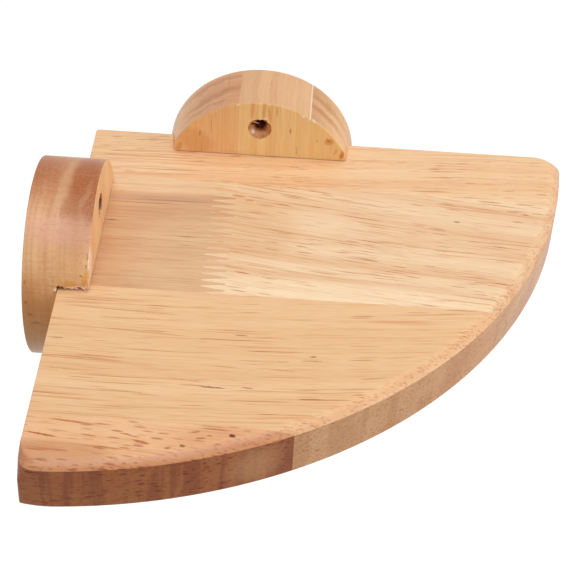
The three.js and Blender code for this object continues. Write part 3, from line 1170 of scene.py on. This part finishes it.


# Marks and stains on the board's top, and a patch of painted light: x, y, half length, half width,
# slope, tint and share
STAVE_3_MARKS = [
    (63.5, -155.2, 6, 0.45, -1, "grey", 0.9),
    (76.3, -154.4, 2.6, 0.4, -4, "brown", 0.75),
    (99.5, -135.6, 1.8, 0.4, 8, "grey", 0.8),
    (99, -138, 5.5, 0.35, 4, "rust", 0.6),
    (72, -126.4, 3.2, 0.4, 0, "brown", 0.65),
    (88.5, -139.4, 2.8, 0.35, 2, "rust", 0.6),
    (67.5, -144, 7, 0.35, -2, "rust", 0.55),
    (89, -144, 6.5, 0.35, -1, "rust", 0.55),
    (21, -142.6, 11, 0.5, -2, "rust", 0.6),
    (24, -144.3, 8, 0.4, -2, "red", 0.4),
    (25.5, -121, 10, 0.4, -1, "rust", 0.55),
    (27, -116.4, 28, 0.4, -2, "rust", 0.55),
    (13, -111.6, 13, 0.4, -1, "rust", 0.55),
    (37, -128, 20, 0.4, -3, "rust", 0.55),
    (4, -134, 3.5, 0.4, 0, "brown", 0.6),
    (53.5, -152.3, 8.5, 0.35, -5, "rust", 0.55),
    (9, -150.5, 9, 0.35, -2, "rust", 0.5),
    (31, -160, 13, 0.35, -3, "rust", 0.45),
    (118, -128, 8, 0.35, 6, "rust", 0.5),
    (131, -133, 9, 0.35, 9, "rust", 0.45),
    (122, -145, 6, 0.4, 10, "rust", 0.5),
]
STAVE_4_MARKS = [
    (72.8, -178.8, 1.5, 1, 0, "knot_and_shade", 1),
    (78, -176, 1.8, 0.7, 6, "orange", 0.6),
    (60, -178, 1.8, 0.5, 8, "red", 0.7),
    (65, -179.6, 1.4, 0.5, 0, "red", 0.7),
    (51, -186.8, 1.6, 0.6, 10, "red", 0.8),
    (36, -181.4, 3, 0.5, -6, "red", 0.7),
    (23, -183, 3.6, 0.5, -8, "red", 0.65),
    (56, -185.2, 1.3, 0.7, 0, "knot_and_shade", 0.7),
    (41.5, -184.7, 4, 0.8, -14, "red", 0.85),
    (17, -177, 11, 0.6, -6, "red", 0.7),
    (6.5, -184, 7.5, 0.55, -9, "red", 0.95),
    (12, -191, 7, 0.7, -3, "red", 0.6),
    (30, -188.5, 7, 0.6, -4, "red", 0.6),
    (62, -181, 2.2, 0.7, 8, "red", 0.7),
    (68, -183.2, 1.6, 0.6, 12, "red", 0.75),
    (49, -180, 3, 0.5, 0, "rust", 0.6),
]
# painted light: the front stave's rim is lightened at its right end, where it turns towards the right
# softbox
PAINTED_LIGHT_END = ((102, -198, -12), (0, 0, 0), (20, 9, 14), "amber", 0.5)
STAVE_4_STAINS = [
    (78, -183, 34, 14, 0, "amber", 0.6),
    (10, -192, 30, 7, 0, "umber", 0.35),
]
STAVE_2_STAINS = [
    (108, -99, 95, 9.5, -1, "straw", 0.6),
    (68, -62, 30, 26, 0, "tan", 0.6),
]
GREY_STAVE_STAINS_AND_LIGHT = [
    # painted light: a broad cream patch lightens the grey stave towards its finger joint, away from
    # the side disc's shadow
    (58, -84, 44, 40, 0, "cream", 0.3),
    (34, -36.5, 60, 8, 1, "cream", 0.75),
    (28, -46.5, 40, 2.2, 2, "lilac", 0.45),
]
STAVE_2_MARKS = [
    (64.5, -41, 3.4, 1, -6, "red", 0.45),
    (69, -43.5, 2.5, 0.6, -8, "rust", 0.5),
    (154.5, -49, 2, 0.5, 0, "grey", 0.8),
    (92, -71.5, 3.4, 0.5, -6, "red", 0.55),
    (168.7, -34.1, 6, 0.6, -4, "red", 0.6),
    (183, -34.5, 5, 0.5, -2, "red", 0.6),
    (178.4, -39.7, 4, 0.5, -3, "red", 0.6),
    (182.8, -41.3, 2, 0.5, 0, "brown", 0.6),
    (179.7, -46.3, 3, 0.5, -2, "red", 0.6),
    (107, -39, 6, 0.5, -5, "rust", 0.45),
]
GREY_STAVE_MARKS = [
    (15, -62, 3.5, 0.4, 0, "brown", 0.75),
    (20, -74, 9, 0.4, 0, "rust", 0.5),
    (38, -85, 16, 1, 0, "rust", 0.3),
]

BOARD_WOODS = {
    "board_stave_1": board_wood(
        "back_stave_wood", "board_stave_1", ("#f6d1a5", "#edba89", "#d6935f", "#b06a3a"), 0.05,
        seed=2.0, sway=7.0, heart=(0, 35, -50), dashes=0.7, long_dashes=0.25,
        dash_size=(10.0, 0.85), depth=0.7, brow="#f6eee6", dots=0.3,
    ),
    "board_stave_2_left": board_wood(
        "grey_stave_wood", "board_stave_2_left",
        ("#deb488", "#d29e74", "#bd8354", "#9a5f36"), 0.01,
        seed=5.0, heart=(0, -40, -70), dashes=0.15, depth=0.6,
        stains_and_light=GREY_STAVE_STAINS_AND_LIGHT, marks=GREY_STAVE_MARKS,
    ),
    "board_stave_2_right": board_wood(
        "cream_stave_wood", "board_stave_2_right",
        ("#f9dcb4", "#e8ba8e", "#d38f55", "#b56632"), -0.12,
        seed=3.0, bend=0.0004, sway=6.0, heart=(0, 10, -60), spacing=2.6, layer_share=0.75,
        lines=0.65, dashes=0.7, long_dashes=0.45, dash_size=(13.0, 0.9), line_size=(48.0, 1.0),
        depth=0.85, brow="#f6ede4", dots=0.4, stains_and_light=STAVE_2_STAINS, marks=STAVE_2_MARKS,
    ),
    "board_stave_3": board_wood(
        "honey_stave_wood", "board_stave_3", ("#f1c899", "#e9ba8a", "#cf8440", "#b45f20"), 0.06,
        seed=4.0, bend=0.0009, sway=3.0, heart=(0, 30, -80), spacing=7, dashes=0.35,
        long_dashes=0.65, dash_size=(20.0, 0.85), line_size=(64.0, 0.9), brow="#fbf2ea",
        dots=0.5, marks=STAVE_3_MARKS,
    ),
    "board_stave_4": board_wood(
        "front_stave_wood", "board_stave_4", ("#f4c99d", "#e9b07e", "#cf8250", "#a9552a"), -0.05,
        seed=6.0, sway=5.0, heart=(0, 30, -50), spacing=6, dashes=0.95, dash_size=(9.0, 1.6),
        line_size=(18.0, 1.7), crowding=0.75, brow="#e2c9b1", side="#dcbf98", bands=0.95,
        dots=0.8, stains_and_light=STAVE_4_STAINS, marks=STAVE_4_MARKS, more=[PAINTED_LIGHT_END],
    ),
}

GLUE_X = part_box("back_disc_right_stave")[0].x / MM
BACK_HOLE = (BACK_PLACE.x / MM, -disc_thickness / MM, HOLE_HEIGHT / MM)
SIDE_HOLE = (disc_thickness / MM, SIDE_PLACE.y / MM, HOLE_HEIGHT / MM)

# Each back disc stave: tones of its face and of its end grain, and the heart of its growth layers
BACK_DISC_STAVES = {
    "left_stave": (("#fbd298", "#f2ba7e"), ("#e0a87a", "#cc8c60"), (0, 4, -70)),
    "middle_stave": (("#fddc9f", "#f5ca8c"), ("#e3b284", "#d8a476"), (0, 90, 0)),
    "right_stave": (("#fad392", "#f0bb78"), ("#d09d70", "#bf8558"), (0, -9, -60)),
}

# Marks on the discs: x, y and z from an origin, half sizes, tint, share and any turn. First the
# back disc's stains, dashes and chips, a painted highlight and dark patches in its wall hole, then
# the growth bands that run round its rim
BACK_ORIGIN = (BACK_PLACE.x / MM, -disc_thickness / MM, BACK_PLACE.z / MM)
BACK_DISC_MARKS = {
    "left_stave": [
        (-27, 0, 19, (11, 2, 7), "streak", 0.35, 0.5),
        (-25.2, 0, 22.9, (0.6, 1, 2), "brown", 0.4, 0.1),
        (-34, 0, 15.5, (1.5, 2, 3), "streak", 0.6, 0.3),
        (-9.4, 0, 38.4, (0.7, 1, 0.5), "chip_and_highlight", 0.9),
    ],
    "middle_stave": [
        (-3.2, 0, 36.4, (1, 1, 6), "streak", 0.4, 0.05),
        (1.6, 0, 36.4, (1.1, 1, 7), "streak", 0.55, 0.05),
        (3.9, 0, 34.6, (0.9, 1, 5), "streak", 0.5, -0.1),
        (7, 0, 36, (0.7, 1, 3.4), "streak", 0.4),
        (13, 0, 26.9, (0.45, 1, 1.7), "brown", 0.6),
        (16, 0, 17, (0.5, 1, 3), "brown", 0.25),
        # painted highlight on the lower left of the wall hole's cone
        (-2.6, 1.4, 24.9, (1.3, 1.3, 1.5), "chip_and_highlight", 0.7),
        (-1, 0.3, 22.2, (2.6, 1, 0.5), "orange", 0.7, 0.1),
        # dark patches on the wall hole's upper cone, near its neck
        (-3.1, 2.4, 27.6, (1.7, 1.6, 0.9), "dark", 0.9, 0.5),
        (2.4, 2.2, 28.6, (1.6, 1.6, 1.2), "dark", 0.75, -0.4),
        (-3, 0, 31.2, (1.6, 1, 0.5), "pale", 0.55, 0.4),
        (2, 0, 32.2, (1.6, 1, 0.4), "pale", 0.55),
        (17.9, 0, 34.7, (1.5, 0.8, 0.5), "chip_and_highlight", 1, 0.5),
        (20.6, 0, 33.2, (0.9, 0.8, 0.5), "chip_and_highlight", 1, 0.6),
    ],
    "right_stave": [
        (29.4, 0, 22.6, (2.6, 1.2, 2.2), "orange", 0.6),
        (29.2, 0, 22.9, (0.8, 1.2, 0.7), "umber", 0.7, 0.2),
        (24.4, 0, 22.7, (0.4, 1, 1.4), "brown", 0.35),
        (32.4, 0, 17.5, (0.7, 1, 2.6), "brown", 0.25, 0.4),
        (35.3, 0, 16, (1.2, 1.2, 3), "orange", 0.9, 0.2),
        (22.6, 0, 32.4, (1.5, 0.7, 0.45), "chip_and_highlight", 0.9, 0.6),
    ],
}
BACK_RIM_MARKS = {
    "left_stave": [
        (-22, 11, 34, (24, 3.4, 20), "umber", 0.5, 0.1),
        (-24, 20, 32, (20, 2.3, 22), "umber", 0.35, 0.06),
        (-24, 5, 30, (24, 1.5, 22), "umber", 0.35, 0.05),
    ],
    "middle_stave": [],
    "right_stave": [
        (29, 9, 28, (18, 2.6, 22), "umber", 0.4, -0.1),
        (30, 17, 27, (17, 3.2, 22), "umber", 0.35, -0.1),
        (38, 12, 16, (12, 24, 18), "amber", 0.6),
    ],
}

# The side disc: its face, the torn corner of its left stave, and its rim with red-brown heartwood
# at the top, a band of painted highlight and an orange lower part
SIDE_ORIGIN = (0, SIDE_PLACE.y / MM, SIDE_PLACE.z / MM)
SIDE_DISC_MARKS = [
    # painted highlight along the edge between the side disc's face and its rim
    (25.6, -30, 22, (0.5, 7, 9), "chip_and_highlight", 0.5),
    # painted shade inside the side disc's wall hole
    (24.2, 3.4, 25.8, (1.9, 2.8, 5.8), "knot_and_shade", 0.95),
]
ROOM_CORNER = (0, 0, 0)
TORN_CORNER_MARKS = [
    (24.2, -118.6, 5, (1.8, 5, 4.4), "honey", 0.8, 0.3),
    (22.8, -118.4, 6.2, (1, 3, 0.6), "russet", 0.8, 0.4),
    (24.6, -117, 9.4, (0.5, 3, 0.9), "russet", 0.6),
    (24.9, -115.4, 12.4, (0.4, 3, 1.4), "russet", 0.5),
    (18.2, -120.5, 3.2, (3.6, 3, 1.7), "honey", 0.75),
    (1.2, -121, 3, (0.6, 4, 0.9), "russet", 0.6),
    (1.6, -123.6, -5, (0.8, 4, 1.4), "russet", 0.6),
    (3.2, -124.2, -10.5, (1.4, 4, 0.9), "russet", 0.6),
    (5.6, -124.4, -14.5, (3, 4, 0.7), "russet", 0.5),
    (21, -120.6, 1.3, (5.6, 1.5, 0.9), "splinter", 0.9),
    # painted shade in the torn notch and in the gap beside the torn fibres
    (14.7, -119.3, 1.2, (1.6, 1.5, 1.2), "dark", 0.95),
    (23.2, -119, 1.9, (1.3, 0.8, 0.5), "knot_and_shade", 0.8),
    (12.9, -121.5, 0.6, (0.6, 1.5, 1.5), "chip_and_highlight", 0.8),
]
SIDE_RIM_ORIGIN = (0, SIDE_PLACE.y / MM, 0)
SIDE_RIM_MARKS = [
    (20.5, 0, 24, (17, 44, 22), "umber", 1),
    (2, 8, 24, (16, 34, 16), "umber", 0.9),
    (24.8, -12, 23.5, (4, 16, 10), "russet", 0.7),
    (12.8, -4, 27, (3.6, 34, 14), "sand", 0.42, -0.09),
    (21.5, -11, 25.5, (1.8, 15, 10), "sand", 0.2, -0.2),
    # painted highlight: a pink band across the rim where the overhead softbox is reflected, with a
    # thin bright line in it
    (13, -25, 20, (28, 9, 10), "highlight_pink", 0.6),
    (12.6, -22.5, 20, (0.9, 14, 10), "highlight_pink", 0.6),
    (8, -40, -16, (32, 22, 36), "streak", 0.55),
    (2, -38, -3, (7, 12, 16), "orange", 0.5),
]


def disc_wood(node, tints, axis, **look):
    """The wood of one disc stave, whose grain is upright and whose rim shows end grain."""
    return wood(
        f"{node}_grain", node, tints, UPWARD, (axis[1], axis[0], 0), axis=axis,
        layer_share=0.75, dashes=0.2, long_dashes=0.2, end_share=1.0, **look,
    )


def back_disc_wood(stave, step):
    tones, ends, heart = BACK_DISC_STAVES[stave]
    glue = ((GLUE_X, 0, 0), (1, 0, 0), 0.17, "pale", 0.65)
    return disc_wood(
        f"back_disc_{stave}", (*tones, "#dc9c55", "#b8743a"), (0, 1, 0), ends=ends, heart=heart,
        seed=7.0 + step, spacing=4.5, lines=0.35, depth=0.35, grit=0.12, hole=BACK_HOLE,
        seams=[] if stave == "left_stave" else [glue],
        marks=marks_from(BACK_ORIGIN, BACK_DISC_MARKS[stave]),
        rim_marks=marks_from(BACK_ORIGIN, BACK_RIM_MARKS[stave], axis=2),
    )


def side_disc_wood(stave):
    marks = marks_from(SIDE_ORIGIN, SIDE_DISC_MARKS)
    if stave == "left_stave":
        marks += marks_from(ROOM_CORNER, TORN_CORNER_MARKS)
    return disc_wood(
        f"side_disc_{stave}", ("#f6cc9a", "#e6b078", "#cf8c48", "#a66632"), (1, 0, 0),
        ends=("#f0bd8e", "#d9986a"), heart=(0, 0, -70), seed=11.0, lines=0.4, depth=0.3,
        grit=0.25, hole=SIDE_HOLE, marks=marks,
        rim_marks=marks_from(SIDE_RIM_ORIGIN, SIDE_RIM_MARKS, axis=2),
    )


def wear(piece, node, material):
    """A finished piece: its surface, its material, and its place in the frame."""
    finish_surface(piece)
    piece.data.materials.clear()
    piece.data.materials.append(material)
    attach(piece, "root")
    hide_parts(node)


for node, piece in BOARD.items():
    wear(piece, node, BOARD_WOODS[node])
for step, (node, piece) in enumerate(DISCS.items()):
    stave = node.removeprefix("back_disc_").removeprefix("side_disc_")
    grained = back_disc_wood(stave, step + 1) if node[0] == "b" else side_disc_wood(stave)
    wear(piece, node, grained)
zinc = steel()
for node, piece in SCREWS.items():
    wear(piece, node, zinc)


def seen(tree, *rays):
    """One for the camera's rays and the named others, and nothing for the light's own."""
    path = add("LightPath", {}, tree)
    found = path["Is Camera Ray"]
    for ray in rays:
        found = reckon("MAXIMUM", found, path[ray])
    return found


def stage_floor():
    """A pale floor well below the shelf, near white to the camera and keeping the soft shadow."""
    bpy.ops.object.select_all(action="DESELECT")
    place = (*SHELF_MIDDLE[:2], FLOOR_HEIGHT)
    bpy.ops.mesh.primitive_plane_add(size=FLOOR_SIZE, location=place)
    floor = settle(new_piece("studio_floor"))
    material, tree, shader = new_material("studio_floor")
    looked_at = seen(tree, "Is Glossy Ray")
    surface = {
        "Base Color": mix(looked_at, FLOOR_BOUNCE, FLOOR_SEEN),
        "Roughness": 0.9,
        "Specular IOR Level": 0.0,
        "Emission Color": (1, 1, 1, 1),
        "Emission Strength": times(looked_at, FLOOR_GLOW),
    }
    fill(shader, surface)
    floor.data.materials.append(material)


def studio_world():
    """Even soft light all round, which the camera and reflections see as white."""
    world = bpy.data.worlds.new("studio")
    bpy.context.scene.world = world
    world.use_nodes = True
    tree = world.node_tree
    looked_at = seen(tree, "Is Glossy Ray", "Is Transmission Ray")
    strength = ramp(looked_at, 0.0, 1.0, WORLD_LIGHT, 1.0)
    fill(tree.nodes["Background"], {"Color": (1, 1, 1, 1), "Strength": strength})


def stand(name, data, place, target, roll=0.0):
    """Puts a lamp or a camera at its place, turned towards a target."""
    holder = bpy.data.objects.new(name, data)
    bpy.context.scene.collection.objects.link(holder)
    holder.location = place
    aim = Vector(target) - Vector(place)
    holder.rotation_mode = "QUATERNION"
    holder.rotation_quaternion = aim.to_track_quat("-Z", "Y") @ Quaternion((0, 0, 1), roll)
    return holder


def softbox(name, place, size, power):
    lamp = bpy.data.lights.new(name, "AREA")
    lamp.shape = "RECTANGLE"
    lamp.size, lamp.size_y = size
    lamp.energy = power
    stand(name, lamp, place, SHELF_MIDDLE)


def photo_camera():
    """The camera as the photograph was taken, fitted to the board's edges and the discs."""
    data = bpy.data.cameras.new("photo_camera")
    data.lens = LENS
    data.sensor_width = SENSOR_WIDTH
    data.clip_start = NEAREST
    data.clip_end = FARTHEST
    camera = stand("photo_camera", data, CAMERA_PLACE, CAMERA_TARGET, CAMERA_ROLL)
    bpy.context.scene.camera = camera


stage_floor()
studio_world()
for box in SOFTBOXES:
    softbox(*box)
photo_camera()
bpy.context.scene.view_settings.view_transform = "Standard"
